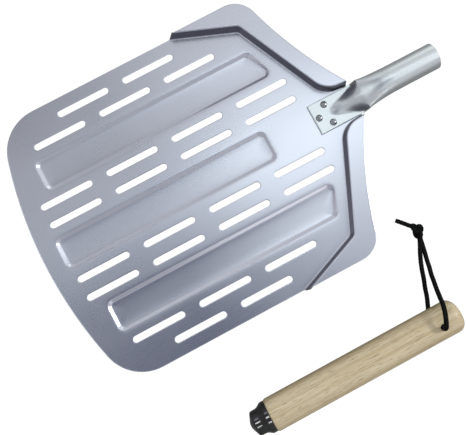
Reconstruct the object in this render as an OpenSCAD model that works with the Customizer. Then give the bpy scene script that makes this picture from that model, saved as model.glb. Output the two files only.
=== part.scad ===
// Pizza peel in two pieces: a perforated, pressed aluminium blade with a tube
// socket riveted to its neck, and a loose wooden handle lying beside it. The
// handle's ferrule plugs into the open end of the tube.
// Millimetres. X runs along the tube towards its open end and Z is up. The
// origin is under the middle rib, on the plane that the whole peel rests on.

/* [Blade] */
// Width across the straight sides
blade_w = 305; // [295:1:315]
// Distance from the origin to the rounded front edge
front_reach = 150; // [145:1:155]
// Distance from the origin to the rear edge at the neck
neck_x = 222; // [220:1:224]
// Radius of the front edge
front_r = 460; // [420:5:500]
// Radius of the two front corners
front_corner_r = 48; // [40:1:52]
// Radius of the two rear corners
rear_corner_r = 27; // [24:1:30]
// Sheet thickness
sheet = 1.5; // [1.2:0.1:1.8]

/* [Pressed shape] */
// Depth of the three long ribs, pressed down from the pan
rib_depth = 3; // [2.5:0.25:4]
// Width of each rib between its wall centres
rib_w = 32; // [28:1:34]
// Distance from the centreline to each outer rib
rib_pitch = 83.7; // [82:0.1:85]
// Height of the two rear flanges above the pan
flange_rise = 14; // [12:0.5:15]
// Width of the wall between pan and flange, seen from above
step_run = 2.5; // [2:0.25:3]

/* [Slots] */
// Slot width
slot_w = 7; // [6:0.5:8]
// Slot length over its round ends
slot_len = 60; // [54:1:62]
// Distance from one slot to the next in a row
slot_pitch = 78; // [76:0.5:80]

/* [Tube socket] */
// Outside diameter of the tube
tube_od = 28.4; // [27.8:0.1:29]
// Wall thickness of the tube
tube_wall = 1.1; // [1:0.05:1.2]
// Distance from the origin to the tube's open end
tube_end_x = 314.5; // [302:0.5:320]
// Width of the flattened tongue
tongue_w = 34.4; // [33:0.1:34.6]
// Rivet shank diameter
rivet_d = 4; // [3.6:0.1:4.4]
// Rivet head diameter
rivet_head_d = 7.6; // [7:0.1:8]

/* [Handle] */
// Diameter of the wooden grip
grip_d = 35; // [34.5:0.1:36]
// Length of the whole handle, ferrule to butt
handle_len = 239; // [225:1:250]
// Sideways distance from the tube's axis to the handle's axis
handle_gap = 245; // [240:1:250]
// Distance from the origin back to the ferrule's front
ferrule_back = 36; // [30:1:42]
// Length of the ferrule
ferrule_len = 22; // [21:0.5:24]
// Clearance of the ferrule's plug in the tube, on the radius
plug_gap = 0.1; // [0.05:0.05:0.2]
// Edge radius of the butt end
butt_r = 9; // [7:0.5:11]

/* [Lanyard] */
// Diameter of the cord
cord_d = 4.8; // [4.5:0.1:5]
// Diameter of the hole that the cord runs through
cord_hole_d = 6.6; // [6.4:0.1:7]

/* [Hidden] */
$fn = 96;
aluminium = [0.72, 0.73, 0.78];
steel = [0.62, 0.64, 0.67];
black_metal = [0.08, 0.08, 0.09];
wood = [0.78, 0.68, 0.52];
black_cord = [0.03, 0.03, 0.03];

// Levels
pan_z = rib_depth;
pan_top = pan_z + sheet;
flange_z = pan_z + flange_rise;
flange_top = flange_z + sheet;
tongue_top = pan_top + 2 * tube_wall;
axis_z = grip_d / 2;

// Blade outline
half_w = blade_w / 2;
front_x = -front_reach;
front_corner_y = half_w - front_corner_r;
front_angle = asin(front_corner_y / (front_r - front_corner_r));
front_corner_x = front_x + front_r - (front_r - front_corner_r) * cos(front_angle);
rear_corner_x = 144;
rear_corner_y = half_w - rear_corner_r;
rear_angle = 16;
rear_sweep_r = 440;
rear_sweep_end = 32.5;
arc_steps = 10;

// Step line between pan and flange, from the side edge to the neck
step_line = [[79, half_w], [147.7, 125.3], [195.5, 20.5], [neck_x, 18.6]];
step_corner_r = 8;
step_throat_r = 25;
past = 40;

// Ribs: front end, then the rear end's outer and inner corners
mid_rib_x = [-128.5, 118.5];
side_rib_front = -110.3;
side_rib_rear = [144, 158.5];
rib_corner_r = 6;
rib_wall = 1.5;

// Slot rows: distance from the centreline, front end, number of slots
slot_rows = [[32.1, -126.5, 4], [53.6, -126.5, 4], [114.5, -104, 3], [135, -65.7, 2]];

// Socket: flat tongue, flare and round tube
tongue_x = 173;
flare_x = 200;
throat_x = 224;
round_x = 250;
throat_h = 16;
bore_r = tube_od / 2 - tube_wall;
bore_len = 58;
rivet_spots = [[178.7, 0], [190, 10.8], [190, -10.8]];
rivet_clear = 0.05;
rivet_head_h = 2.2;
rivet_tail_d = 6.4;
rivet_tail_h = 1.2;

// Handle
plug_r = bore_r - plug_gap;
nose_r = 3;
nose_len = 5;
plug_end = 11.5;
flare_end = 17;
collar_r = 16.4;
tenon_r = 11.5;
tenon_x = 8;
glue_gap = 0.05;
grip_chamfer = 0.8;
hole_x = 179;
hole_top_angle = 8;
hole_low_angle = 40;

// Lanyard: one cord from the knot over the grip, down through the hole and
// back to the knot, with a short tail
knot_at = [211.5, -153.5, 6.5];
knot_d = 12.5;
knot_len = 18;
knot_turn = 108;
cord_sides = 10;
cord_route = [
    [212, -156, 6.5], [210.5, -163, 5], [209.5, -170, 3.5], [208, -178, 2.6],
    [206, -186, 2.8], [204, -193.5, 4.5], [201.5, -200, 7], [199, -206, 12],
    [196, -211.5, 18.5], [193, -216.5, 26], [190.5, -221, 32.5], [188, -226, 39],
    [185, -231, 44.5], [182, -236, 48], [179.5, -241.5, 48], [178, -246.5, 44.5],
    [178, -248, 39], [178.5, -247.5, 35], [179, -240.5, 19.5], [179.5, -235.5, 8],
    [180, -233, 5], [182, -230, 3], [184, -226, 2.6], [187, -219, 2.6],
    [190, -210, 2.6], [193.5, -201, 2.6], [196.5, -192, 2.6], [200, -183, 3],
    [203.5, -175, 4], [207, -168, 5], [210, -161, 6], [211.5, -154.5, 7],
    [210, -149, 6], [206, -144, 4.5], [202, -139, 3], [197.5, -134, 2.6]];

// Points along an arc about c, from angle a0 to angle a1
function arc(c, r, a0, a1, n = arc_steps) =
    [for (i = [0:n]) let(a = a0 + (a1 - a0) * i / n) c + r * [cos(a), sin(a)]];

function unit(v) = v / norm(v);

// Arc of radius r that rounds corner b between its neighbours a and c
function round_corner(a, b, c, r, n = arc_steps) =
    let(u = unit(a - b), w = unit(c - b), half = acos(u * w) / 2,
        centre = b + unit(u + w) * r / sin(half),
        p = b + u * r / tan(half) - centre, q = b + w * r / tan(half) - centre,
        a0 = atan2(p[1], p[0]), turn = (atan2(q[1], q[0]) - a0 + 540) % 360 - 180)
    arc(centre, r, a0, a0 + turn, n);

// Closed outline with every corner rounded by the same radius
function rounded(pts, r) =
    let(n = len(pts))
    [for (i = [0:n - 1]) each round_corner(pts[(i + n - 1) % n], pts[i], pts[(i + 1) % n], r, 6)];

function left_normal(a, b) = let(u = unit(b - a)) [-u[1], u[0]];

// Corner b of the path a-b-c, moved to the left of the path by d
function moved_corner(a, b, c, d) =
    let(m = left_normal(a, b), n = left_normal(b, c)) b + d * (m + n) / (1 + m * n);

// The step line moved outwards, towards the flange, by d
function step_path(d) =
    let(s = step_line, first = s[0] + d * left_normal(s[0], s[1]),
        knee = moved_corner(s[0], s[1], s[2], d), throat = moved_corner(s[1], s[2], s[3], d),
        last = s[3] + d * left_normal(s[2], s[3]))
    concat([first - past * unit(s[1] - s[0])],
           round_corner(first, knee, throat, step_corner_r + d),
           round_corner(knee, throat, last, step_throat_r - d),
           [last + past * unit(s[3] - s[2])]);

module both_sides() {
    children();
    mirror([0, 1, 0]) children();
}

// Half of the blade's outline, on the +Y side
module half_outline() {
    rear = [rear_corner_x, rear_corner_y];
    sweep_from = rear + (rear_corner_r + rear_sweep_r) * [cos(rear_angle), sin(rear_angle)];
    polygon(concat(
        arc([front_x + front_r, 0], front_r, 180, 180 - front_angle),
        arc([front_corner_x, front_corner_y], front_corner_r, 180 - front_angle, 90),
        arc(rear, rear_corner_r, 90, rear_angle),
        arc(sweep_from, rear_sweep_r, 180 + rear_angle, 180 + rear_sweep_end),
        [[neck_x, 0]]));
}

// Everything beyond the step line moved outwards by d, on the +Y side
module beyond_step(d) {
    polygon(concat(step_path(d), [[neck_x + 2 * past, half_w + past], [0, half_w + past]]));
}

module flange_outline(d) {
    intersection() {
        half_outline();
        beyond_step(d);
    }
}

module mid_rib(inset) {
    x0 = mid_rib_x[0] + inset;
    x1 = mid_rib_x[1] - inset;
    y = rib_w / 2 - inset;
    polygon(rounded([[x0, -y], [x1, -y], [x1, y], [x0, y]], rib_corner_r - inset));
}

module side_rib(inset) {
    x0 = side_rib_front + inset;
    y0 = rib_pitch - rib_w / 2 + inset;
    y1 = rib_pitch + rib_w / 2 - inset;
    polygon(rounded([[x0, y0], [side_rib_rear[1] - inset, y0],
                     [side_rib_rear[0] - inset, y1], [x0, y1]], rib_corner_r - inset));
}

module ribs(inset) {
    mid_rib(inset);
    both_sides() side_rib(inset);
}

module slot_row(row) {
    for (i = [0:row[2] - 1])
        translate([row[1] + i * slot_pitch + slot_w / 2, row[0] - slot_w / 2]) {
            square([slot_len - slot_w, slot_w]);
            for (x = [0, slot_len - slot_w]) translate([x, slot_w / 2]) circle(d = slot_w);
        }
}

module rivet_holes(d) {
    for (spot = rivet_spots) translate(spot) circle(d = d);
}

module blade() color(aluminium) {
    translate([0, 0, pan_z]) linear_extrude(sheet) difference() {
        both_sides() half_outline();
        both_sides() beyond_step(step_run / 2);
        ribs(rib_wall / 2);
        both_sides() for (row = slot_rows) slot_row(row);
        rivet_holes(rivet_d + 2 * rivet_clear);
    }
    linear_extrude(sheet) ribs(0);
    linear_extrude(pan_top) difference() {
        ribs(0);
        ribs(rib_wall);
    }
    both_sides() {
        translate([0, 0, flange_z]) linear_extrude(sheet) flange_outline(0);
        translate([0, 0, pan_z]) linear_extrude(flange_top - pan_z) difference() {
            flange_outline(0);
            beyond_step(step_run);
        }
    }
}

// Upright oval section of the flare, with its lowest point at height low
module oval(x, w, h, low) {
    translate([x, 0, low + h / 2]) rotate([0, 90, 0])
        linear_extrude(0.1) scale([h / w, 1]) circle(d = w, $fn = 40);
}

// The flare between tongue and tube, slimmed all round by wall
module flare(wall) {
    low = axis_z - tube_od / 2;
    hull() {
        oval(flare_x, tongue_w - 2 * wall, 2.2 * tube_wall - 2 * wall, pan_top + wall);
        oval(throat_x, tongue_w - 2 * wall, throat_h - 2 * wall, pan_top + wall);
    }
    hull() {
        oval(throat_x, tongue_w - 2 * wall, throat_h - 2 * wall, pan_top + wall);
        oval(round_x, tube_od - 2 * wall, tube_od - 2 * wall, low + wall);
    }
}

module socket_tube() color(steel) difference() {
    union() {
        translate([tongue_x, -tongue_w / 2, pan_top])
            cube([flare_x + 1 - tongue_x, tongue_w, 2 * tube_wall]);
        flare(0);
        translate([round_x, 0, axis_z]) rotate([0, 90, 0])
            cylinder(r = tube_od / 2, h = tube_end_x - round_x);
    }
    flare(tube_wall);
    translate([tube_end_x - bore_len, 0, axis_z]) rotate([0, 90, 0])
        cylinder(r = bore_r, h = bore_len + 1);
    translate([round_x - 1, 0, axis_z]) rotate([0, 90, 0])
        cylinder(r = bore_r - 0.2, h = tube_end_x - bore_len - round_x + 2);
    translate([0, 0, pan_top - 1]) linear_extrude(4)
        rivet_holes(rivet_d + 2 * rivet_clear);
}

// Domed cap of diameter d and height h, its flat side down
module dome(d, h) {
    ball_r = (d * d / 4 + h * h) / (2 * h);
    rotate_extrude() intersection() {
        translate([0, h - ball_r]) circle(r = ball_r);
        square([d / 2, h]);
    }
}

module rivet(spot) color(steel) translate(spot) {
    translate([0, 0, tongue_top]) dome(rivet_head_d, rivet_head_h);
    translate([0, 0, pan_z]) cylinder(d = rivet_d, h = tongue_top - pan_z);
    translate([0, 0, pan_z]) mirror([0, 0, 1]) dome(rivet_tail_d, rivet_tail_h);
}

module rivet_front() rivet(rivet_spots[0]);
module rivet_left() rivet(rivet_spots[1]);
module rivet_right() rivet(rivet_spots[2]);

// Puts a shape turned about +Z onto the handle's axis, starting at the ferrule
module on_handle_axis() {
    translate([-ferrule_back, -handle_gap, axis_z]) rotate([0, 90, 0]) children();
}

module ferrule() color(black_metal) on_handle_axis() rotate_extrude() polygon(concat(
    [[0, 0], [nose_r, 0], [plug_r - 0.8, nose_len - 1.2], [plug_r - 0.2, nose_len - 0.5],
     [plug_r, nose_len], [plug_r, plug_end]],
    [for (i = [1:6]) [plug_r + (collar_r - plug_r) * (1 - cos(90 * i / 6)),
                      plug_end + (flare_end - plug_end) * i / 6]],
    [[collar_r, ferrule_len], [tenon_r + glue_gap, ferrule_len],
     [tenon_r + glue_gap, tenon_x], [0, tenon_x]]));

// Axis of the cord hole: its upper and lower mouths on the grip's surface
hole_top = [hole_x, -handle_gap - axis_z * sin(hole_top_angle), axis_z * (1 + cos(hole_top_angle))];
hole_low = [hole_x, -handle_gap + axis_z * sin(hole_low_angle), axis_z * (1 - cos(hole_low_angle))];
hole_tilt = atan2(hole_low[1] - hole_top[1], hole_top[2] - hole_low[2]);

module wood_grip() color(wood) difference() {
    union() {
        on_handle_axis() translate([0, 0, ferrule_len]) rotate_extrude() polygon(concat(
            [[0, 0], [axis_z - grip_chamfer, 0], [axis_z, 2 * grip_chamfer]],
            arc([axis_z - butt_r, handle_len - ferrule_len - butt_r], butt_r, 0, 90),
            [[0, handle_len - ferrule_len]]));
        on_handle_axis() translate([0, 0, tenon_x + glue_gap])
            cylinder(r = tenon_r, h = ferrule_len - tenon_x);
    }
    translate((hole_top + hole_low) / 2) rotate([hole_tilt, 0, 0])
        cylinder(d = cord_hole_d, h = 2 * grip_d, center = true);
}

// Ring of the cord's section about point i of the route
function cord_ring(i) =
    let(p = cord_route, n = len(p), ahead = unit(p[min(i + 1, n - 1)] - p[max(i - 1, 0)]),
        side = unit(cross(ahead, [1, 0, 0])), up = cross(ahead, side))
    [for (k = [0:cord_sides - 1]) let(a = 360 * k / cord_sides)
        p[i] + cord_d / 2 * (cos(a) * side + sin(a) * up)];

module lanyard_cord() color(black_cord) {
    n = len(cord_route);
    s = cord_sides;
    polyhedron(
        points = [for (i = [0:n - 1]) each cord_ring(i)],
        faces = concat(
            [[for (k = [0:s - 1]) k]],
            [for (i = [0:n - 2]) for (k = [0:s - 1])
                [i * s + k, (i + 1) * s + k, (i + 1) * s + (k + 1) % s, i * s + (k + 1) % s]],
            [[for (k = [s - 1:-1:0]) (n - 1) * s + k]]),
        convexity = 10);
}

module lanyard_knot() color(black_cord)
    translate(knot_at) rotate([0, 0, knot_turn]) rotate([0, 90, 0])
        rotate_extrude() intersection() {
            hull() for (z = [-1, 1]) translate([0, z * (knot_len - knot_d) / 2]) circle(d = knot_d, $fn = 48);
            translate([0, -knot_len]) square([knot_d, 2 * knot_len]);
        }

blade();
socket_tube();
rivet_front();
rivet_left();
rivet_right();
ferrule();
wood_grip();
lanyard_cord();
lanyard_knot();
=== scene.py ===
"""Pizza peel: pressed perforated blade with a riveted tube socket, and its loose
wooden handle with a cord loop. Pieces are built in millimetres and stored in
metres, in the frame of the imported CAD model."""
import math
from functools import partial

import bmesh
import bpy
from mathutils import Matrix, Vector
from mathutils.geometry import delaunay_2d_cdt


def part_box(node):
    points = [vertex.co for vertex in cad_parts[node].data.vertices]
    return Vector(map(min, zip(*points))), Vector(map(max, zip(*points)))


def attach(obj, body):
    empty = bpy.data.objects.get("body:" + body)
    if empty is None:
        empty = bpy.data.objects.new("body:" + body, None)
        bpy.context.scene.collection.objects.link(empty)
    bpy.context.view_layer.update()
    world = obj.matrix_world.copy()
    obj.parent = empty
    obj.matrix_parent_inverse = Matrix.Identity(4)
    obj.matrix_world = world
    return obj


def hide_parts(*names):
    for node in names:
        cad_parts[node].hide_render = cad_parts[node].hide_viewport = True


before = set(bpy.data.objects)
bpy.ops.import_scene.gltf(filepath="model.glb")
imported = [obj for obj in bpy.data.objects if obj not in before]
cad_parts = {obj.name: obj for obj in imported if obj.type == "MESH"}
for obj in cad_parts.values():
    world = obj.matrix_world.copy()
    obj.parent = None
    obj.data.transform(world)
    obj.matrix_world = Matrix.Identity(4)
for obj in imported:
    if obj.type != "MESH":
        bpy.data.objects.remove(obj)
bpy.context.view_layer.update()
MM = 0.001


def box_mm(node):
    """Lowest and highest corner of a CAD node, in millimetres."""
    low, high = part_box(node)
    return low / MM, high / MM


BLADE_LOW, BLADE_HIGH = box_mm("blade")
SOCKET_LOW, SOCKET_HIGH = box_mm("socket_tube")
FERRULE_LOW, FERRULE_HIGH = box_mm("ferrule")
GRIP_LOW, GRIP_HIGH = box_mm("wood_grip")
KNOT_LOW, KNOT_HIGH = box_mm("lanyard_knot")

# ---------------------------------------------------------------- camera

LENS = 47.8
CAMERA_AT = Vector((20.2, -101.2, 654.5))
CAMERA_TARGET = Vector((47.5, -50.1, 4.5))
VIEW_ROLL = math.radians(28.0)
FRAME_TWIST = math.radians(-0.27)


def add_camera():
    back = (CAMERA_AT - CAMERA_TARGET).normalized()
    row_up = Vector((-math.sin(FRAME_TWIST), math.cos(FRAME_TWIST), 0))
    right = row_up.cross(back).normalized()
    up = back.cross(right)
    spin = Matrix.Rotation(-VIEW_ROLL, 3, back)
    right, up = spin @ right, spin @ up
    data = bpy.data.cameras.new("camera")
    data.lens = LENS
    data.clip_start = 0.01
    camera = bpy.data.objects.new("camera", data)
    axes = Matrix((right, up, back)).transposed()
    camera.matrix_world = Matrix.Translation(CAMERA_AT * MM) @ axes.to_4x4()
    bpy.context.scene.collection.objects.link(camera)
    bpy.context.scene.camera = camera


# ---------------------------------------------------------------- mesh tools

def new_object(name, mesh):
    piece = bpy.data.objects.new(name, mesh)
    bpy.context.scene.collection.objects.link(piece)
    return piece


def mesh_object(name, points, faces):
    """Object from points in millimetres."""
    mesh = bpy.data.meshes.new(name)
    mesh.from_pydata([Vector(p) * MM for p in points], [], faces)
    mesh.validate()
    return new_object(name, mesh)


def apply_modifiers(piece):
    """Replaces the piece's mesh by what its modifiers make of it."""
    graph = bpy.context.evaluated_depsgraph_get()
    mesh = bpy.data.meshes.new_from_object(piece.evaluated_get(graph))
    piece.modifiers.clear()
    piece.data = mesh


def thicken(piece, thickness):
    """Gives a surface its thickness, on the side its faces don't point to."""
    wall = piece.modifiers.new("thickness", "SOLIDIFY")
    wall.thickness = thickness * MM
    wall.offset = -1
    wall.use_even_offset = True
    wall.use_quality_normals = True
    apply_modifiers(piece)


def smooth(piece, sharp_degrees=35):
    """Smooth shading, with a crease where faces meet at more than that angle."""
    mesh = bmesh.new()
    mesh.from_mesh(piece.data)
    bmesh.ops.recalc_face_normals(mesh, faces=mesh.faces)
    for face in mesh.faces:
        face.smooth = True
    limit = math.radians(sharp_degrees)
    for edge in mesh.edges:
        edge.smooth = edge.calc_face_angle(math.pi) < limit
    mesh.to_mesh(piece.data)
    mesh.free()
    return piece


def loft(name, rings, closed=False, cap_start=True, cap_end=True):
    """Skin over rings of equally many points."""
    count = len(rings[0])
    points = [p for ring in rings for p in ring]
    faces = []
    spans = len(rings) if closed else len(rings) - 1
    for i in range(spans):
        j = (i + 1) % len(rings)
        for k in range(count):
            m = (k + 1) % count
            faces.append((i * count + k, j * count + k, j * count + m, i * count + m))
    if cap_start and not closed:
        faces.append(tuple(range(count)))
    if cap_end and not closed:
        last = (len(rings) - 1) * count
        faces.append(tuple(last + k for k in reversed(range(count))))
    return mesh_object(name, points, faces)


def lathe(name, profile, centre, segments=96):
    """Solid turned about the X axis through centre. profile is (x, radius)."""
    points, rings = [], []
    for x, r in profile:
        if r < 1e-6:
            rings.append([len(points)] * segments)
            points.append((x, centre[0], centre[1]))
            continue
        rings.append(list(range(len(points), len(points) + segments)))
        for k in range(segments):
            a = 2 * math.pi * k / segments
            points.append((x, centre[0] + r * math.cos(a), centre[1] + r * math.sin(a)))
    faces = []
    for a, b in zip(rings, rings[1:]):
        for k in range(segments):
            m = (k + 1) % segments
            corners = [a[k], a[m], b[m], b[k]]
            faces.append(tuple(dict.fromkeys(corners)))
    return mesh_object(name, points, faces)


def bend(centre, r, start, end, steps):
    """Points of an arc, angles in degrees."""
    turn = [math.radians(start + (end - start) * i / steps) for i in range(steps + 1)]
    return [(centre[0] + r * math.cos(a), centre[1] + r * math.sin(a)) for a in turn]


def blend_value(x, x0, x1, y0, y1):
    """y0 before x0, y1 after x1, an S-curve between."""
    t = min(max((x - x0) / (x1 - x0), 0), 1)
    return y0 + (y1 - y0) * t * t * (3 - 2 * t)


def spline(points, step, closed=False):
    """Smooth curve through the points, with a point about every step."""
    out = []
    n = len(points)
    spans = n if closed else n - 1
    for i in range(spans):
        p1, p2 = points[i], points[(i + 1) % n]
        p0 = points[i - 1] if closed or i else p1 * 2 - p2
        p3 = points[(i + 2) % n] if closed or i + 2 < n else p2 * 2 - p1
        t1 = math.sqrt((p1 - p0).length)
        t2 = t1 + math.sqrt((p2 - p1).length)
        t3 = t2 + math.sqrt((p3 - p2).length)
        count = max(1, round((p2 - p1).length / step))
        for k in range(count):
            t = t1 + (t2 - t1) * k / count
            a1 = p0 * ((t1 - t) / t1) + p1 * (t / t1)
            a2 = p1 * ((t2 - t) / (t2 - t1)) + p2 * ((t - t1) / (t2 - t1))
            a3 = p2 * ((t3 - t) / (t3 - t2)) + p3 * ((t - t2) / (t3 - t2))
            b1 = a1 * ((t2 - t) / t2) + a2 * (t / t2)
            b2 = a2 * ((t3 - t) / (t3 - t1)) + a3 * ((t - t1) / (t3 - t1))
            out.append(b1 * ((t2 - t) / (t2 - t1)) + b2 * ((t - t1) / (t2 - t1)))
    if not closed:
        out.append(points[-1].copy())
    return out


# ---------------------------------------------------------------- outlines

def left_of(a, b):
    d = (b - a).normalized()
    return Vector((-d.y, d.x))


def round_corner(a, b, c, r, steps):
    """Arc of radius r that rounds corner b between its neighbours."""
    u, w = (a - b).normalized(), (c - b).normalized()
    half = math.acos(max(-1, min(1, u.dot(w)))) / 2
    centre = b + (u + w).normalized() * (r / math.sin(half))
    p, q = b + u * (r / math.tan(half)) - centre, b + w * (r / math.tan(half)) - centre
    start = math.degrees(math.atan2(p.y, p.x))
    turn = (math.degrees(math.atan2(q.y, q.x)) - start + 540) % 360 - 180
    return bend(centre, r, start, start + turn, steps)


def rounded(corners, r, steps=8):
    corners = [Vector(c) for c in corners]
    n = len(corners)
    out = []
    for i, b in enumerate(corners):
        out += round_corner(corners[i - 1], b, corners[(i + 1) % n], r, steps)
    return out


def mitred(a, b, c, d):
    """Corner b of the path a-b-c, moved to the left of the path by d."""
    m, n = left_of(a, b), left_of(b, c)
    return b + (m + n) * (d / (1 + m.dot(n)))


def wall_profile(height, angle, low_r, high_r, steps=5):
    """(distance, height) across a pressed wall, from its foot to its top."""
    a = math.radians(angle)
    rise = height - (low_r + high_r) * (1 - math.cos(a))
    run = rise / math.tan(a)
    points = []
    for i in range(steps + 1):
        t = a * i / steps
        points.append((low_r * math.sin(t), low_r * (1 - math.cos(t))))
    x1, z1 = points[-1]
    x2, z2 = x1 + run, z1 + rise
    for i in range(steps + 1):
        t = a * (1 - i / steps)
        points.append((x2 + high_r * (math.sin(a) - math.sin(t)),
                       z2 + high_r * (math.cos(t) - math.cos(a))))
    return points


# ---------------------------------------------------------------- blade

SHEET = 1.5
RIB_DEPTH = 3.0
PAN_TOP = RIB_DEPTH + SHEET
FLANGE_TOP = BLADE_HIGH.z
HALF_W = BLADE_HIGH.y
FRONT_X = BLADE_LOW.x
NECK_X = BLADE_HIGH.x
FRONT_R = 460.0
FRONT_CORNER_R = 48.0
REAR_CORNER = Vector((144.0, HALF_W - 27.0))
REAR_CORNER_R = 27.0
REAR_ANGLE = 16.0
REAR_SWEEP_R = 440.0
REAR_SWEEP_END = 32.5

STEP_LINE = [Vector(p) for p in ((79, HALF_W), (147.7, 125.3), (195.5, 20.5), (NECK_X, 18.6))]
STEP_CORNER_R = 8.0
STEP_THROAT_R = 25.0
STEP_FOOT = -1.3
STEP_PROFILE = wall_profile(FLANGE_TOP - PAN_TOP, 84, 1.2, 1.5)

RIB_CORNER_R = 6.0
RIB_HALF_W = 16.0
RIB_PITCH = 83.7
MID_RIB_X = (-128.5, 118.5)
SIDE_RIB_FRONT = -110.3
SIDE_RIB_REAR = (144.0, 158.5)
RIB_SAG = 0.35
RIB_SHOULDER = 0.1
RIB_WALL = wall_profile(RIB_DEPTH - RIB_SAG - RIB_SHOULDER, 36, 2.2, 2.2)
RIB_FOOT = -RIB_WALL[-1][0] / 2
RIB_PROFILE = [(-9.0, 0.0), (-6.0, 0.06), (-3.5, 0.15), (-1.6, 0.25)]
RIB_PROFILE += [(d, z + RIB_SAG) for d, z in RIB_WALL]
RIB_PROFILE += [(RIB_WALL[-1][0] + 1.2, RIB_DEPTH - 0.04), (RIB_WALL[-1][0] + 3.5, RIB_DEPTH)]

SLOT_W = 7.0
SLOT_LEN = 60.0
SLOT_PITCH = 78.0
SLOT_ROWS = ((32.1, -126.5, 4), (53.6, -126.5, 4), (114.5, -104.0, 3), (135.0, -65.7, 2))
RIVET_SPOTS = {"rivet_front": (178.7, 0), "rivet_left": (190, 10.8), "rivet_right": (190, -10.8)}
RIVET_HOLE_R = 2.05

HOLD = 0.7
EDGE_IN = 0.35
EDGE_DROP = 0.15


def half_outline(inset=0.0):
    """The +Y half of the blade's edge, front to rear, moved inwards by inset."""
    big = Vector((FRONT_X + FRONT_R, 0))
    small_y = HALF_W - FRONT_CORNER_R
    angle = math.degrees(math.asin(small_y / (FRONT_R - FRONT_CORNER_R)))
    small = big + Vector((-(FRONT_R - FRONT_CORNER_R) * math.cos(math.radians(angle)), small_y))
    a = math.radians(REAR_ANGLE)
    sweep = REAR_CORNER + (REAR_CORNER_R + REAR_SWEEP_R) * Vector((math.cos(a), math.sin(a)))
    points = bend(big, FRONT_R - inset, 180, 180 - angle, 14)
    points += bend(small, FRONT_CORNER_R - inset, 180 - angle, 90, 14)
    points += bend(REAR_CORNER, REAR_CORNER_R - inset, 90, REAR_ANGLE, 12)[:-1]
    points += bend(sweep, REAR_SWEEP_R + inset, 180 + REAR_ANGLE, 180 + REAR_SWEEP_END, 16)
    x, y = points[-1]
    points[-1] = (NECK_X - inset, y)
    return points


def whole_outline(inset=0.0):
    half = half_outline(inset)
    return half + [(x, -y) for x, y in reversed(half[1:])]


def step_path(d):
    """The step line on the +Y side, moved towards the flange by d."""
    a, b, c, e = STEP_LINE
    past = 30.0
    first = a + left_of(a, b) * d
    last = e + left_of(c, e) * d
    knee, throat = mitred(a, b, c, d), mitred(b, c, e, d)
    path = [first - (b - a).normalized() * past]
    path += round_corner(first, knee, throat, STEP_CORNER_R + d, 10)
    path += round_corner(knee, throat, last, STEP_THROAT_R - d, 14)
    path.append(last + (e - c).normalized() * past)
    return [tuple(p) for p in path]


def rib_outlines(grow):
    """Closed outlines of the three ribs, larger all round by grow."""
    r = max(0.8, RIB_CORNER_R + grow)
    x0, x1, y = MID_RIB_X[0] - grow, MID_RIB_X[1] + grow, RIB_HALF_W + grow
    middle = rounded([(x0, -y), (x1, -y), (x1, y), (x0, y)], r)
    x0, y0, y1 = SIDE_RIB_FRONT - grow, RIB_PITCH - y, RIB_PITCH + y
    side = rounded([(x0, y0), (SIDE_RIB_REAR[1] + grow, y0),
                    (SIDE_RIB_REAR[0] + grow, y1), (x0, y1)], r)
    return [middle, side, [(px, -py) for px, py in side]]


def slot_spans():
    """Centres of the two round ends of each slot."""
    for y, front, count in SLOT_ROWS:
        for i in range(count):
            x = front + i * SLOT_PITCH + SLOT_W / 2
            for side in (1, -1):
                yield Vector((x, side * y)), Vector((x + SLOT_LEN - SLOT_W, side * y))


def slot_outline(a, b, r):
    return bend(a, r, 90, 270, 10) + bend(b, r, -90, 90, 10)


def path_offset(p, path):
    """Distance from p to the path, positive on its left."""
    best = None
    for a, b in zip(path, path[1:]):
        d = b - a
        t = max(0, min(1, (p - a).dot(d) / d.length_squared))
        gap = p - (a + d * t)
        if best is None or gap.length < abs(best):
            side = d.x * gap.y - d.y * gap.x
            best = math.copysign(gap.length, side)
    return best


def step_height(p, path):
    d = path_offset(Vector((p.x, abs(p.y))), path) - STEP_FOOT
    if d <= 0:
        return 0.0
    for (d0, z0), (d1, z1) in zip(STEP_PROFILE, STEP_PROFILE[1:]):
        if d <= d1:
            return z0 + (z1 - z0) * (d - d0) / (d1 - d0)
    return STEP_PROFILE[-1][1]


def inside(p, outline):
    hit = False
    for (x0, y0), (x1, y1) in zip(outline, outline[1:] + outline[:1]):
        if (y0 > p.y) != (y1 > p.y) and p.x < x0 + (x1 - x0) * (p.y - y0) / (y1 - y0):
            hit = not hit
    return hit


class Sheet:
    """Flat constrained mesh: lines with known heights, then triangles."""

    def __init__(self):
        self.points, self.heights, self.edges = [], [], []

    def line(self, points, height, closed=True):
        start = len(self.points)
        self.points += [Vector(p) for p in points]
        self.heights += [height] * len(points)
        last = len(self.points) - 1
        self.edges += [(i, i + 1) for i in range(start, last)]
        if closed:
            self.edges.append((last, start))

    def triangles(self):
        result = delaunay_2d_cdt(self.points, self.edges, [], 0, 1e-5, True)
        points, _, faces, sources = result[0], result[1], result[2], result[3]
        known = [self.heights[ids[0]] if ids else None for ids in sources]
        return points, faces, known


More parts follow.
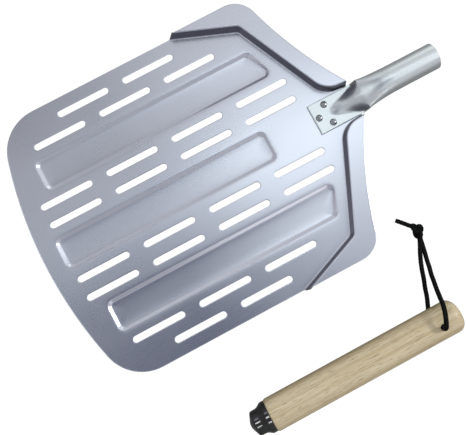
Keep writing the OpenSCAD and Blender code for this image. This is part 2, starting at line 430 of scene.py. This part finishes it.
def blade_piece():
    sheet = Sheet()
    outline = whole_outline()
    sheet.line(outline, None)
    for inset in (EDGE_IN, EDGE_IN + HOLD):
        sheet.line(whole_outline(inset), None)
    spans = list(slot_spans())
    for a, b in spans:
        sheet.line(slot_outline(a, b, SLOT_W / 2), -EDGE_DROP)
        for outset in (EDGE_IN, EDGE_IN + HOLD):
            sheet.line(slot_outline(a, b, SLOT_W / 2 + outset), 0.0)
    for spot in RIVET_SPOTS.values():
        sheet.line(bend(spot, RIVET_HOLE_R, 0, 345, 23), 0.0)
    for d, z in RIB_PROFILE:
        for rib in rib_outlines(RIB_FOOT + d):
            sheet.line(rib, z - RIB_DEPTH)
    profile = [(-HOLD, 0.0)] + STEP_PROFILE
    profile.append((STEP_PROFILE[-1][0] + HOLD, STEP_PROFILE[-1][1]))
    for d, z in profile:
        path = step_path(STEP_FOOT + d)
        sheet.line(path, None, closed=False)
        sheet.line([(x, -y) for x, y in path], None, closed=False)

    points, faces, known = sheet.triangles()
    foot = [Vector(p) for p in step_path(0.0)]
    solid = []
    for p, height in zip(points, known):
        z = step_height(p, foot) if height is None else height
        solid.append(Vector((p.x, p.y, PAN_TOP + z)))
    lowered = set()
    for i, p in enumerate(points):
        if known[i] is None and near_outline(p, outline):
            lowered.add(i)
    for i in lowered:
        solid[i].z -= EDGE_DROP

    kept = []
    for face in faces:
        centre = sum((points[i] for i in face), Vector((0, 0))) / len(face)
        if not inside(centre, outline) or in_hole(centre, spans):
            continue
        kept.append(tuple(face))
    piece = mesh_object("blade_sheet", solid, kept)
    loose_vertices_off(piece)
    thicken(piece, SHEET)
    return smooth(piece, 38)


def near_outline(p, outline, reach=0.01):
    for a, b in zip(outline, outline[1:] + outline[:1]):
        a, b = Vector(a), Vector(b)
        d = b - a
        if d.length < 1e-9:
            continue
        t = max(0, min(1, (p - a).dot(d) / d.length_squared))
        if (p - (a + d * t)).length < reach:
            return True
    return False


def in_hole(p, spans):
    for a, b in spans:
        x = max(a.x, min(b.x, p.x))
        if (p - Vector((x, a.y))).length < SLOT_W / 2 - 0.01:
            return True
    return any((p - Vector(s)).length < RIVET_HOLE_R - 0.01 for s in RIVET_SPOTS.values())


def loose_vertices_off(piece):
    mesh = bmesh.new()
    mesh.from_mesh(piece.data)
    loose = [v for v in mesh.verts if not v.link_faces]
    bmesh.ops.delete(mesh, geom=loose, context="VERTS")
    bmesh.ops.recalc_face_normals(mesh, faces=mesh.faces)
    up = sum(f.normal.z * f.calc_area() for f in mesh.faces)
    if up < 0:
        bmesh.ops.reverse_faces(mesh, faces=mesh.faces)
    mesh.to_mesh(piece.data)
    mesh.free()


# ---------------------------------------------------------------- tube socket

TUBE_WALL = 1.1
TUBE_R = 14.2
TUBE_END = SOCKET_HIGH.x
TUBE_AXIS_Z = SOCKET_HIGH.z - TUBE_R
TONGUE_X = SOCKET_LOW.x
TONGUE_HALF_W = SOCKET_HIGH.y
TONGUE_TOP = PAN_TOP + 2 * TUBE_WALL
# The tongue opens at the throat, and the tube is fully round at ROUND_X
THROAT_X = 229.0
THROAT_Z = 15.0
ROUND_X = 258.0
SECTION_STEPS = 72

# Along the socket: height of the ridge, height of the folded rim, half-width of the
# arch on the tongue, and half-width of the tube
RIDGE = ((173, TONGUE_TOP), (190, TONGUE_TOP), (196, 7.5), (205, 10.0), (216, 14.6), (229, 21.6),
         (240, 27.2), (250, 30.4), (ROUND_X + 4, SOCKET_HIGH.z), (400, SOCKET_HIGH.z))
RIM = ((173, TONGUE_TOP), (224, TONGUE_TOP), (226, 8.7), (THROAT_X, THROAT_Z))
ARCH = ((173, 1.0), (190, 2.5), (196, 5.6), (205, 8.6), (216, 12.0), (224, 15.0), (THROAT_X, 17.3))
WAIST = ((THROAT_X, 17.25), (232, 16.6), (240, 15.6), (250, 14.75), (262, 14.3), (280, TUBE_R), (400, TUBE_R))


def along(table, x):
    """Value at x on a smooth curve through the table's points, without overshoot."""
    for i in range(len(table) - 1):
        (x0, y0), (x1, y1) = table[i], table[i + 1]
        if x <= x1 or i == len(table) - 2:
            t = min(max((x - x0) / (x1 - x0), 0), 1)
            slope = (y1 - y0) / (x1 - x0)
            before = slope if i == 0 else (y0 - table[i - 1][1]) / (x0 - table[i - 1][0])
            after = slope if i == len(table) - 2 else (table[i + 2][1] - y1) / (table[i + 2][0] - x1)
            m0 = 0 if before * slope <= 0 else 2 * before * slope / (before + slope)
            m1 = 0 if after * slope <= 0 else 2 * after * slope / (after + slope)
            w = x1 - x0
            return (y0 * (1 + 2 * t) * (1 - t) ** 2 + m0 * w * t * (1 - t) ** 2
                    + y1 * t * t * (3 - 2 * t) - m1 * w * t * t * (1 - t))


def upper_sheet(x, y):
    """Outer height of the socket's upper sheet, ahead of the throat."""
    half = along(ARCH, x)
    side = max(0, 1 - (TONGUE_HALF_W - abs(y)) / 0.7) * blend_value(x, 214, 224, 1, 0)
    front = max(0, 1 - (x - TONGUE_X) / 0.9)
    rim = along(RIM, x) - 0.8 * (1 - math.sqrt(max(0, 1 - side * side - front * front)))
    t = abs(y) / half
    if t >= 1:
        return rim
    power = blend_value(x, 214, THROAT_X, 1.6, 0.5)
    ridge = along(RIDGE, x)
    round_top = (1 - t * t) ** power
    pointed_top = (1 - t) ** blend_value(x, 214, THROAT_X, 1.15, 0.5)
    mixed = blend_value(x, 218, THROAT_X, 0.6, 0.0)
    return rim + (ridge - rim) * (round_top * (1 - mixed) + pointed_top * mixed)


def lower_sheet(x, y):
    """Underside of the socket's lower sheet, ahead of the throat."""
    lift = 2 * blend_value(x, THROAT_X - 5, THROAT_X + 5, 0, 1)
    t = min(abs(y) / TONGUE_HALF_W, 1)
    return PAN_TOP + (THROAT_Z - PAN_TOP) * lift * (1 - math.sqrt(1 - t * t))


def socket_piece():
    """One folded sheet: two layers ahead of the throat, a tube behind it."""
    turns = [math.pi * k / SECTION_STEPS for k in range(SECTION_STEPS + 1)]
    across = [TONGUE_HALF_W * math.cos(a) for a in turns]
    points, upper, lower = [], [], []
    xs = [TONGUE_X, 173.15, 173.4, 173.9, 174.6, 177, 181, 185, 188] + [190 + 1.5 * i for i in range(26)]
    for x in xs:
        upper.append(range(len(points), len(points) + len(turns)))
        points += [(x, y, upper_sheet(x, y)) for y in across]
        lower.append(range(len(points), len(points) + len(turns)))
        points += [(x, y, lower_sheet(x, y)) for y in across]
    rings = []
    tube_xs = [THROAT_X + 1.5 * i for i in range(24)] + [266, 272, 280, 290, 300, 308, TUBE_END]
    for x in tube_xs:
        half, top = along(WAIST, x), along(RIDGE, x)
        middle = blend_value(x, THROAT_X, 252, THROAT_Z, TUBE_AXIS_Z)
        low = blend_value(x, THROAT_X - 6, 252, PAN_TOP, TUBE_AXIS_Z - TUBE_R)
        if x == THROAT_X:
            middle, low = THROAT_Z, PAN_TOP
        first = len(points)
        points += [(x, half * math.cos(a), middle + (top - middle) * math.sin(a)) for a in turns]
        points += [(x, half * math.cos(a), middle - (middle - low) * math.sin(a))
                   for a in reversed(turns[1:-1])]
        rings.append(list(range(first, len(points))))
    faces = []
    n = len(turns)
    throat = rings[0]
    under = [throat[0]] + [throat[2 * n - 2 - k] for k in range(1, n - 1)] + [throat[n - 1]]
    for rows, flip in ((upper + [throat[:n]], False), (lower + [under], True)):
        for a, b in zip(rows, rows[1:]):
            quads = [(a[k], a[k + 1], b[k + 1], b[k]) for k in range(n - 1)]
            faces += [tuple(reversed(q)) for q in quads] if flip else quads
    for a, b in zip(rings, rings[1:]):
        size = len(a)
        faces += [(a[k], a[(k + 1) % size], b[(k + 1) % size], b[k]) for k in range(size)]
    piece = mesh_object("socket", points, faces)
    thicken(piece, TUBE_WALL - 0.04)
    return smooth(piece, 40)


# ---------------------------------------------------------------- rivets

RIVET_SEAT = PAN_TOP + 2 * TUBE_WALL
RIVET_HEAD_R = 3.8
RIVET_HEAD_H = 2.2
RIVET_TAIL_R = 3.2
RIVET_TAIL_H = 1.2
RIVET_R = 2.0


def dome_profile(r, height, base, up=1):
    """(z, radius) from the rim to the top of a domed cap."""
    ball = (r * r + height * height) / (2 * height)
    spread = math.asin(r / ball)
    rim = [(base, r * 0.985), (base + up * 0.25, r)]
    cap = []
    for i in range(9):
        a = spread * (1 - i / 8)
        cap.append((base + up * (0.25 + (height - 0.25) / height
                                 * (ball * math.cos(a) - ball + height)), ball * math.sin(a)))
    return rim + cap


def rivet_piece(name):
    x, y = RIVET_SPOTS[name]
    tail = list(reversed(dome_profile(RIVET_TAIL_R, RIVET_TAIL_H, RIB_DEPTH, -1)))
    profile = tail + [(RIB_DEPTH, RIVET_R), (RIVET_SEAT, RIVET_R)]
    profile += dome_profile(RIVET_HEAD_R, RIVET_HEAD_H, RIVET_SEAT)
    piece = lathe(name + "_turned", profile, (0, 0), 48)
    piece.data.transform(Matrix.Rotation(math.radians(-90), 4, "Y"))
    piece.data.transform(Matrix.Translation(Vector((x, y, 0)) * MM))
    return smooth(piece, 50)


# ---------------------------------------------------------------- handle

HANDLE_AT = ((GRIP_LOW.y + GRIP_HIGH.y) / 2, (GRIP_LOW.z + GRIP_HIGH.z) / 2)
NOSE_X = FERRULE_LOW.x
BUTT_X = GRIP_HIGH.x
GRIP_R = (GRIP_HIGH.z - GRIP_LOW.z) / 2
FERRULE_LEN = FERRULE_HIGH.x - NOSE_X
TENON_R = 11.5
TENON_X = 8.0
BUTT_R = 9.0

FERRULE_PROFILE = ((0, 2.6), (0.3, 3.6), (1.2, 5.8), (2.4, 8.7), (3.4, 11.0), (4.1, 12.2), (5.0, 12.8),
                   (6.4, 13.0), (8.5, 13.0), (11.0, 13.1), (12.2, 13.45), (13.7, 14.2), (15.2, 15.15),
                   (16.5, 16.0), (17.5, 16.38), (18.6, 16.45), (21.4, 16.45), (21.8, 16.3))


def ferrule_piece():
    line = spline([Vector((x, r, 0)) for x, r in FERRULE_PROFILE], 0.6)
    profile = [(0.0, 0.0)] + [(p.x, p.y) for p in line]
    profile += [(FERRULE_LEN, 16.0), (FERRULE_LEN, TENON_R + 0.05)]
    profile += [(TENON_X, TENON_R + 0.05), (TENON_X, 0.0)]
    return smooth(lathe("ferrule_cap", [(NOSE_X + x, r) for x, r in profile], HANDLE_AT), 32)


HOLE_X = 179.0
HOLE_R = 3.3
HOLE_TOP_ANGLE = math.radians(8)
HOLE_LOW_ANGLE = math.radians(40)


def hole_ends():
    y, z = HANDLE_AT
    top = Vector((HOLE_X, y - GRIP_R * math.sin(HOLE_TOP_ANGLE), z + GRIP_R * math.cos(HOLE_TOP_ANGLE)))
    low = Vector((HOLE_X, y + GRIP_R * math.sin(HOLE_LOW_ANGLE), z - GRIP_R * math.cos(HOLE_LOW_ANGLE)))
    return top, low


def hole_cutter():
    """Drill with a slightly flared mouth at both ends."""
    top, low = hole_ends()
    half = (top - low).length / 2
    profile = [(-half - 6, 0), (-half - 6, HOLE_R + 1.5), (-half + 0.4, HOLE_R + 0.3), (-half + 1.2, HOLE_R)]
    profile += [(-x, r) for x, r in reversed(profile)]
    cutter = lathe("drill", profile, (0, 0), 48)
    turn = (top - low).to_track_quat("X", "Z").to_matrix().to_4x4()
    cutter.data.transform(turn)
    cutter.data.transform(Matrix.Translation((top + low) / 2 * MM))
    return cutter


def grip_piece():
    start = NOSE_X + FERRULE_LEN
    profile = [(NOSE_X + TENON_X + 0.05, 0.0), (NOSE_X + TENON_X + 0.05, TENON_R), (start, TENON_R)]
    profile += [(start, GRIP_R - 1.1), (start + 0.3, GRIP_R - 0.75), (start + 1.0, GRIP_R - 0.3)]
    profile += [(start + 2.0, GRIP_R - 0.06), (start + 3.2, GRIP_R)]
    dense_from, dense_to = HOLE_X - 8, BUTT_X - BUTT_R
    steps = 9
    profile += [(start + 3.2 + (dense_from - start - 3.2) * i / steps, GRIP_R) for i in range(1, steps)]
    count = 16
    profile += [(dense_from + (dense_to - dense_from) * i / count, GRIP_R) for i in range(count)]
    profile += bend((dense_to, GRIP_R - BUTT_R), BUTT_R, 90, 0, 14)
    profile += [(BUTT_X, 4.0), (BUTT_X, 0.0)]
    piece = lathe("grip", profile, HANDLE_AT, 144)
    smooth(piece, 40)
    cutter = hole_cutter()
    cut = piece.modifiers.new("cord_hole", "BOOLEAN")
    cut.operation = "DIFFERENCE"
    cut.solver = "EXACT"
    cut.object = cutter
    apply_modifiers(piece)
    bpy.data.objects.remove(cutter)
    return smooth(piece, 32)


# ---------------------------------------------------------------- lanyard

CORD_D = 4.8
CORD_ROUTE = [Vector(p) for p in (
    (212, -156, 6.5), (210.5, -163, 5), (209.5, -170, 3.5), (208, -178, 2.6),
    (206, -186, 2.8), (204, -193.5, 4.5), (201.5, -200, 7), (199, -206, 12),
    (196, -211.5, 18.5), (193, -216.5, 26), (190.5, -221, 32.5), (188, -226, 39),
    (185, -231, 44.5), (182, -236, 48), (179.5, -241.5, 48), (178, -246.5, 44.5),
    (178, -248, 39), (178.5, -247.5, 35), (179, -240.5, 19.5), (179.5, -235.5, 8),
    (180, -233, 5), (182, -230, 3), (184, -226, 2.6), (187, -219, 2.6),
    (190, -210, 2.6), (193.5, -201, 2.6), (196.5, -192, 2.6), (200, -183, 3),
    (203.5, -175, 4), (207, -168, 5), (210, -161, 6), (211.5, -154.5, 7),
    (210, -149, 6), (206, -144, 4.5), (202, -139, 3), (197.5, -134, 2.6))]
KNOT_AT = (KNOT_LOW + KNOT_HIGH) / 2

BRAID_PITCH = 7.0
BRAID_STRANDS = 4
BRAID_RELIEF = 0.13
CORD_SIDES = 32


def braided_tube(name, path, radius, closed=False):
    """Tube along the path, with two crossed sets of strands in relief."""
    n = len(path)
    rings = []
    travelled = 0.0
    side = None
    for i, p in enumerate(path):
        before = path[i - 1] if closed or i else p
        after = path[(i + 1) % n] if closed or i + 1 < n else p
        ahead = (after - before).normalized()
        if side is None:
            side = ahead.cross(Vector((1, 0, 0))).normalized()
        side = (side - ahead * side.dot(ahead)).normalized()
        up = ahead.cross(side)
        if i:
            travelled += (p - path[i - 1]).length
        ring = []
        for k in range(CORD_SIDES):
            a = 2 * math.pi * k / CORD_SIDES
            twist = 2 * math.pi * travelled / BRAID_PITCH
            one = math.cos(BRAID_STRANDS * a + twist * BRAID_STRANDS / 2)
            other = math.cos(BRAID_STRANDS * a - twist * BRAID_STRANDS / 2)
            r = radius + BRAID_RELIEF * (max(one, other) - 0.75)
            ring.append(p + side * (r * math.cos(a)) + up * (r * math.sin(a)))
        rings.append(ring)
    return smooth(loft(name, rings, closed), 60)


def cord_piece():
    path = spline(CORD_ROUTE, 0.55)
    return braided_tube("lanyard_braid", path, CORD_D / 2), path


KNOT_TURN = math.radians(-28)
KNOT_SCALE = Vector((1.62, 2.45, 2.4))


def knot_piece():
    """Overhand knot: the cord's two legs pulled tight round each other."""
    turn = Matrix.Rotation(KNOT_TURN, 3, "Z")
    path = []
    count = 150
    for i in range(count):
        t = 2 * math.pi * i / count
        trefoil = (math.sin(t) + 2 * math.sin(2 * t), math.cos(t) - 2 * math.cos(2 * t), -math.sin(3 * t))
        p = turn @ Vector(trefoil)
        path.append(KNOT_AT + Vector((p.x * KNOT_SCALE.x, p.y * KNOT_SCALE.y, p.z * KNOT_SCALE.z)))
    return braided_tube("lanyard_overhand_knot", path, CORD_D / 2, closed=True)


# ---------------------------------------------------------------- materials

class Material:
    """A Principled material and short names for building its nodes."""

    def __init__(self, name, **values):
        self.data = bpy.data.materials.new(name)
        self.data.use_nodes = True
        self.tree = self.data.node_tree
        self.shader = self.tree.nodes["Principled BSDF"]
        for key, value in values.items():
            self.shader.inputs[key.replace("_", " ").title().replace("Ior", "IOR")].default_value = value
        self.place = self.node("ShaderNodeTexCoord").outputs["Object"]

    def node(self, kind, **settings):
        made = self.tree.nodes.new(kind)
        for key, value in settings.items():
            setattr(made, key, value)
        return made

    def link(self, source, target):
        self.tree.links.new(source, target)

    def stretch(self, scale, rotation=(0, 0, 0), source=None):
        made = self.node("ShaderNodeMapping")
        made.inputs["Scale"].default_value = scale
        made.inputs["Rotation"].default_value = rotation
        self.link(source or self.place, made.inputs["Vector"])
        return made.outputs["Vector"]

    def noise(self, where, scale, detail=4.0, roughness=0.55, distortion=0.0):
        made = self.node("ShaderNodeTexNoise")
        made.inputs["Scale"].default_value = scale
        made.inputs["Detail"].default_value = detail
        made.inputs["Roughness"].default_value = roughness
        made.inputs["Distortion"].default_value = distortion
        self.link(where, made.inputs["Vector"])
        return made.outputs["Fac"]

    def ramp(self, source, *stops):
        made = self.node("ShaderNodeValToRGB")
        elements = made.color_ramp.elements
        while len(elements) < len(stops):
            elements.new(0.5)
        for element, (at, colour) in zip(elements, stops):
            element.position = at
            element.color = (*colour, 1)
        self.link(source, made.inputs["Fac"])
        return made.outputs["Color"]

    def spread(self, source, low, high, low_in=0.0, high_in=1.0):
        made = self.node("ShaderNodeMapRange")
        for key, value in zip(("From Min", "From Max", "To Min", "To Max"), (low_in, high_in, low, high)):
            made.inputs[key].default_value = value
        self.link(source, made.inputs["Value"])
        return made.outputs["Result"]

    def math(self, operation, a, b):
        made = self.node("ShaderNodeMath", operation=operation)
        for socket, value in zip(made.inputs, (a, b)):
            if isinstance(value, (int, float)):
                socket.default_value = value
            else:
                self.link(value, socket)
        return made.outputs["Value"]

    def mix(self, factor, a, b, blend="MIX"):
        made = self.node("ShaderNodeMix", data_type="RGBA", blend_type=blend)
        for socket, value in ((made.inputs[0], factor), (made.inputs[6], a), (made.inputs[7], b)):
            if isinstance(value, (int, float)):
                socket.default_value = value
            elif isinstance(value, tuple):
                socket.default_value = (*value, 1)
            else:
                self.link(value, socket)
        return made.outputs[2]

    def painted_shade_where_steep(self, low, high):
        """Mask for painted shade on steep surfaces: 1 where the surface stands steeper than low (its normal's
        height), 0 beyond high.
        """
        parts = self.node("ShaderNodeSeparateXYZ")
        self.link(self.node("ShaderNodeNewGeometry").outputs["Normal"], parts.inputs[0])
        return self.spread(self.math("ABSOLUTE", parts.outputs["Z"], 0), 1.0, 0.0, low, high)

    def bump(self, height, distance, strength=1.0):
        made = self.node("ShaderNodeBump")
        made.inputs["Strength"].default_value = strength
        made.inputs["Distance"].default_value = distance
        self.link(height, made.inputs["Height"])
        self.link(made.outputs["Normal"], self.shader.inputs["Normal"])


def blade_metal():
    m = Material("blade_metal", metallic=1.0)
    cloud = m.noise(m.place, 9.0, 3.0)
    fine = m.noise(m.stretch((60, 700, 700)), 1.0, 5.0)
    grain = m.noise(m.place, 1600.0, 2.0)
    tone = m.ramp(cloud, (0.3, (0.57, 0.58, 0.64)), (0.7, (0.62, 0.63, 0.69)))
    # Painted shade: steep walls get a near-black metal colour, standing in for the dark surroundings they
    # mirror.
    m.link(m.mix(m.painted_shade_where_steep(0.3, 0.8), tone, (0.14, 0.14, 0.17)), m.shader.inputs["Base Color"])
    rough = m.math("ADD", m.spread(cloud, 0.25, 0.31), m.spread(fine, -0.02, 0.02))
    m.link(rough, m.shader.inputs["Roughness"])
    m.bump(m.math("ADD", m.math("MULTIPLY", fine, 0.5), grain), 0.00002, 0.2)
    return m.data


def tube_metal():
    m = Material("tube_metal", metallic=1.0)
    streak = m.noise(m.stretch((10, 500, 500)), 1.0, 3.0)
    cloud = m.noise(m.place, 30.0, 3.0)
    tone = m.ramp(streak, (0.3, (0.64, 0.67, 0.68)), (0.7, (0.71, 0.75, 0.76)))
    # Painted shade: where the tube's sides stand upright, the metal colour turns darker and warmer.
    m.link(m.mix(m.painted_shade_where_steep(0.0, 0.2), tone, (0.50, 0.49, 0.48)), m.shader.inputs["Base Color"])
    rough = m.math("ADD", m.spread(streak, 0.30, 0.38), m.spread(cloud, -0.02, 0.03))
    m.link(rough, m.shader.inputs["Roughness"])
    m.bump(streak, 0.00002, 0.2)
    return m.data


def rivet_metal():
    m = Material("rivet_metal", metallic=1.0)
    cloud = m.noise(m.place, 400.0, 3.0)
    m.link(m.ramp(cloud, (0.3, (0.26, 0.27, 0.29)), (0.7, (0.36, 0.37, 0.39))), m.shader.inputs["Base Color"])
    m.link(m.spread(cloud, 0.13, 0.2), m.shader.inputs["Roughness"])
    m.bump(cloud, 0.00004, 0.3)
    return m.data


def ferrule_metal():
    m = Material("ferrule_metal", metallic=0.1, specular_ior_level=0.22)
    turned = m.noise(m.stretch((1500, 20, 20)), 1.0, 3.0)
    cloud = m.noise(m.place, 60.0, 3.0)
    black = m.ramp(cloud, (0.3, (0.006, 0.006, 0.006)), (0.7, (0.012, 0.012, 0.012)))
    m.link(black, m.shader.inputs["Base Color"])
    m.link(m.spread(turned, 0.10, 0.16), m.shader.inputs["Roughness"])
    m.bump(turned, 0.00001, 0.3)
    return m.data


def grip_wood():
    m = Material("grip_wood", coat_weight=0.25, coat_roughness=0.3)
    drift = m.noise(m.stretch((5, 30, 30)), 1.0, 3.0)
    rings = m.noise(m.stretch((4, 190, 95), (0.5, 0, 0)), 1.0, 3.0, 0.6, 0.6)
    fibre = m.noise(m.stretch((22, 900, 900)), 1.0, 5.0)
    pores = m.noise(m.stretch((90, 1300, 1300)), 1.0, 2.0)
    base = m.ramp(rings, (0.28, (0.50, 0.38, 0.21)), (0.5, (0.63, 0.51, 0.32)), (0.72, (0.75, 0.65, 0.45)))
    base = m.mix(m.spread(drift, 0.0, 0.4), base, (0.64, 0.53, 0.35))
    base = m.mix(m.spread(fibre, 0.0, 0.5, 0.35, 0.7), base, (0.44, 0.33, 0.18))
    dark = m.spread(pores, 1.0, 0.0, 0.33, 0.43)
    base = m.mix(m.math("MULTIPLY", dark, 0.7), base, (0.24, 0.16, 0.08))
    # Painted shade: darker wood where the surface stands steep, such as along the grip's sides.
    base = m.mix(m.painted_shade_where_steep(0.1, 0.55), base, (0.30, 0.22, 0.11))
    m.link(base, m.shader.inputs["Base Color"])
    m.link(m.spread(fibre, 0.42, 0.58), m.shader.inputs["Roughness"])
    height = m.math("SUBTRACT", m.math("MULTIPLY", fibre, 0.6), m.math("MULTIPLY", dark, 0.5))
    m.bump(height, 0.00008, 0.5)
    return m.data


def cord_fabric():
    m = Material("cord_fabric", specular_ior_level=0.08)
    fibre = m.noise(m.place, 2600.0, 3.0)
    black = m.ramp(fibre, (0.3, (0.002, 0.002, 0.002)), (0.7, (0.007, 0.007, 0.007)))
    m.link(black, m.shader.inputs["Base Color"])
    m.link(m.spread(fibre, 0.6, 0.8), m.shader.inputs["Roughness"])
    m.bump(fibre, 0.00015, 0.6)
    return m.data


def floor_paper():
    """Bright paper table. Its own glow keeps it white under the blade's slots."""
    m = Material("floor_paper", roughness=0.9)
    cloud = m.noise(m.place, 6.0, 2.0)
    m.link(m.ramp(cloud, (0.3, (0.40, 0.39, 0.37)), (0.7, (0.43, 0.42, 0.40))), m.shader.inputs["Base Color"])
    lit = m.node("ShaderNodeEmission")
    lit.inputs["Strength"].default_value = 1.05
    seen = m.node("ShaderNodeLightPath")
    mixed = m.node("ShaderNodeMixShader")
    m.link(seen.outputs["Is Camera Ray"], mixed.inputs[0])
    m.link(m.shader.outputs["BSDF"], mixed.inputs[1])
    m.link(lit.outputs["Emission"], mixed.inputs[2])
    m.link(mixed.outputs["Shader"], m.tree.nodes["Material Output"].inputs["Surface"])
    return m.data


# ---------------------------------------------------------------- studio

def add_floor():
    size = 3000
    corners = [(-size, -size, 0), (size, -size, 0), (size, size, 0), (-size, size, 0)]
    floor = mesh_object("floor", corners, [(0, 1, 2, 3)])
    floor.data.materials.append(floor_paper())


AMBIENT = (0.59, 0.60, 0.63)
# What the camera sees past the floor
BACKDROP = (0.9, 0.9, 0.9)
# Soft patches on the studio's walls and ceiling: azimuth and angle from the zenith,
# full out to the first half-angle and gone at the second, colour, strength. The
# negative ones are dark flags.
PATCHES = (
    (220, 11, 3, 21, (1.0, 1.0, 0.92), -0.52),
    (32, 13.5, 2, 12, (0.85, 0.97, 1.0), 0.65),
    (-80, 13, 2, 16, (1.0, 1.0, 0.9), -0.13),
    (62, 28, 2, 12, (0.95, 1.0, 1.0), 0.4),
    (165, 36, 3, 14, (0.9, 1.0, 1.0), 1.2),
    (0, 54, 8, 26, (0.85, 0.97, 1.0), 0.4),
    (45, 76, 8, 26, (0.95, 1.0, 0.95), 1.2),
    (90, 56, 6, 20, (0.95, 1.0, 1.0), 0.4),
    (110, 34, 4, 16, (1.0, 1.0, 1.0), -0.4),
    (180, 78, 8, 24, (1.0, 1.0, 1.0), -0.2),
    (-45, 32, 4, 18, (0.8, 0.98, 1.0), 0.45),
    (-90, 34, 4, 16, (0.85, 0.97, 1.0), 0.35),
    (-90, 62, 5, 20, (1.0, 1.0, 1.0), -0.2),
)


def direction(azimuth, tilt):
    a, t = math.radians(azimuth), math.radians(tilt)
    return Vector((math.sin(t) * math.cos(a), math.sin(t) * math.sin(a), math.cos(t)))


def add_world():
    """Patches added to the ambient light. The camera itself sees a plain pale backdrop."""
    world = bpy.data.worlds.new("studio")
    world.use_nodes = True
    tree = world.node_tree
    ray = tree.nodes.new("ShaderNodeTexCoord").outputs["Generated"]
    total = None
    for azimuth, tilt, full, gone, colour, strength in PATCHES:
        angle = tree.nodes.new("ShaderNodeVectorMath")
        angle.operation = "DOT_PRODUCT"
        angle.inputs[1].default_value = direction(azimuth, tilt)
        tree.links.new(ray, angle.inputs[0])
        edge = tree.nodes.new("ShaderNodeMapRange")
        edge.interpolation_type = "SMOOTHSTEP"
        edge.inputs["From Min"].default_value = math.cos(math.radians(gone))
        edge.inputs["From Max"].default_value = math.cos(math.radians(full))
        tree.links.new(angle.outputs["Value"], edge.inputs["Value"])
        patch = tree.nodes.new("ShaderNodeVectorMath")
        patch.operation = "SCALE"
        patch.inputs[0].default_value = [c * strength for c in colour]
        tree.links.new(edge.outputs["Result"], patch.inputs["Scale"])
        added = tree.nodes.new("ShaderNodeVectorMath")
        if total is None:
            added.inputs[0].default_value = AMBIENT
        else:
            tree.links.new(total, added.inputs[0])
        tree.links.new(patch.outputs["Vector"], added.inputs[1])
        total = added.outputs["Vector"]
    plain = tree.nodes.new("ShaderNodeMix")
    plain.data_type = "RGBA"
    plain.inputs[7].default_value = (*BACKDROP, 1)
    tree.links.new(tree.nodes.new("ShaderNodeLightPath").outputs["Is Camera Ray"], plain.inputs[0])
    tree.links.new(total, plain.inputs[6])
    tree.links.new(plain.outputs[2], tree.nodes["Background"].inputs["Color"])
    bpy.context.scene.world = world


def add_light(name, at, size, power, colour=(1, 1, 1)):
    """A lamp aimed at the blade: a disk, or a long strip along X when size is a pair."""
    data = bpy.data.lights.new(name, "AREA")
    if isinstance(size, tuple):
        data.shape = "RECTANGLE"
        data.size, data.size_y = size
    else:
        data.shape = "DISK"
        data.size = size
    data.energy = power
    data.color = colour
    light = bpy.data.objects.new(name, data)
    at = Vector(at)
    away = (at - Vector((0.1, -0.1, 0))).normalized()
    across = Vector((1, 0, 0)) - away * away.x
    across.normalize()
    turn = Matrix((across, away.cross(across), away)).transposed()
    light.matrix_world = Matrix.Translation(at) @ turn.to_4x4()
    light.visible_camera = False
    bpy.context.scene.collection.objects.link(light)
    return light


def only_for(lamp, *names):
    """Let a lamp light these pieces only."""
    group = bpy.data.collections.new(lamp.name + "_for")
    for name in names:
        group.objects.link(bpy.data.objects[name])
    lamp.light_linking.receiver_collection = group


def add_studio():
    """Key lamps, overhead strips, and strips that draw the streaks on the black ferrule."""
    add_world()
    key = add_light("key", (1.4, -0.3, 0.9), 0.4, 8)
    only_for(key, "blade_sheet", "socket", *(name + "_turned" for name in RIVET_SPOTS))
    handle_key = add_light("handle_key", (1.25, -0.3, 1.35), 0.25, 9.5)
    only_for(handle_key, "grip", "ferrule_cap", "lanyard_braid", "lanyard_overhand_knot")
    add_light("strip_over", (0.55, 0.18, 1.5), (0.8, 0.2), 0.8, (0.86, 0.97, 1.0))
    add_light("strip_front", (-0.15, 0.2, 1.5), (0.7, 0.14), 0.2, (0.86, 0.97, 1.0))
    add_light("panel_side", (0.35, -1.45, 0.6), (0.7, 0.25), 0.9)
    for at, width, power, colour in (((-0.13, 0.06, 1.5), 0.2, 26, (1, 1, 1)),
                                     ((-0.13, -0.98, 1.5), 0.2, 24, (1, 1, 1)),
                                     ((-0.13, 1.0, 1.4), 0.4, 11, (0.8, 0.75, 1.0))):
        only_for(add_light("ferrule_strip", at, (0.9, width), power, colour), "ferrule_cap")
    bpy.context.scene.view_settings.view_transform = "Standard"


# ---------------------------------------------------------------- assembly

def place(piece, body, slot, material, *nodes):
    piece.data.materials.clear()
    piece.data.materials.append(material)
    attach(piece, body)
    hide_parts(*nodes)
    return piece


add_camera()
cord, cord_path = cord_piece()
knot = knot_piece()
fabric = cord_fabric()
place(cord, "handle", "cord_fabric", fabric, "lanyard_cord")
place(knot, "handle", "cord_fabric", fabric, "lanyard_knot")

place(blade_piece(), "peel", "blade_metal", blade_metal(), "blade")
place(socket_piece(), "peel", "tube_metal", tube_metal(), "socket_tube")
rivet_finish = rivet_metal()
for rivet in RIVET_SPOTS:
    place(rivet_piece(rivet), "peel", "rivet_metal", rivet_finish, rivet)
place(ferrule_piece(), "handle", "ferrule_metal", ferrule_metal(), "ferrule")
place(grip_piece(), "handle", "grip_wood", grip_wood(), "wood_grip")

add_floor()
add_studio()
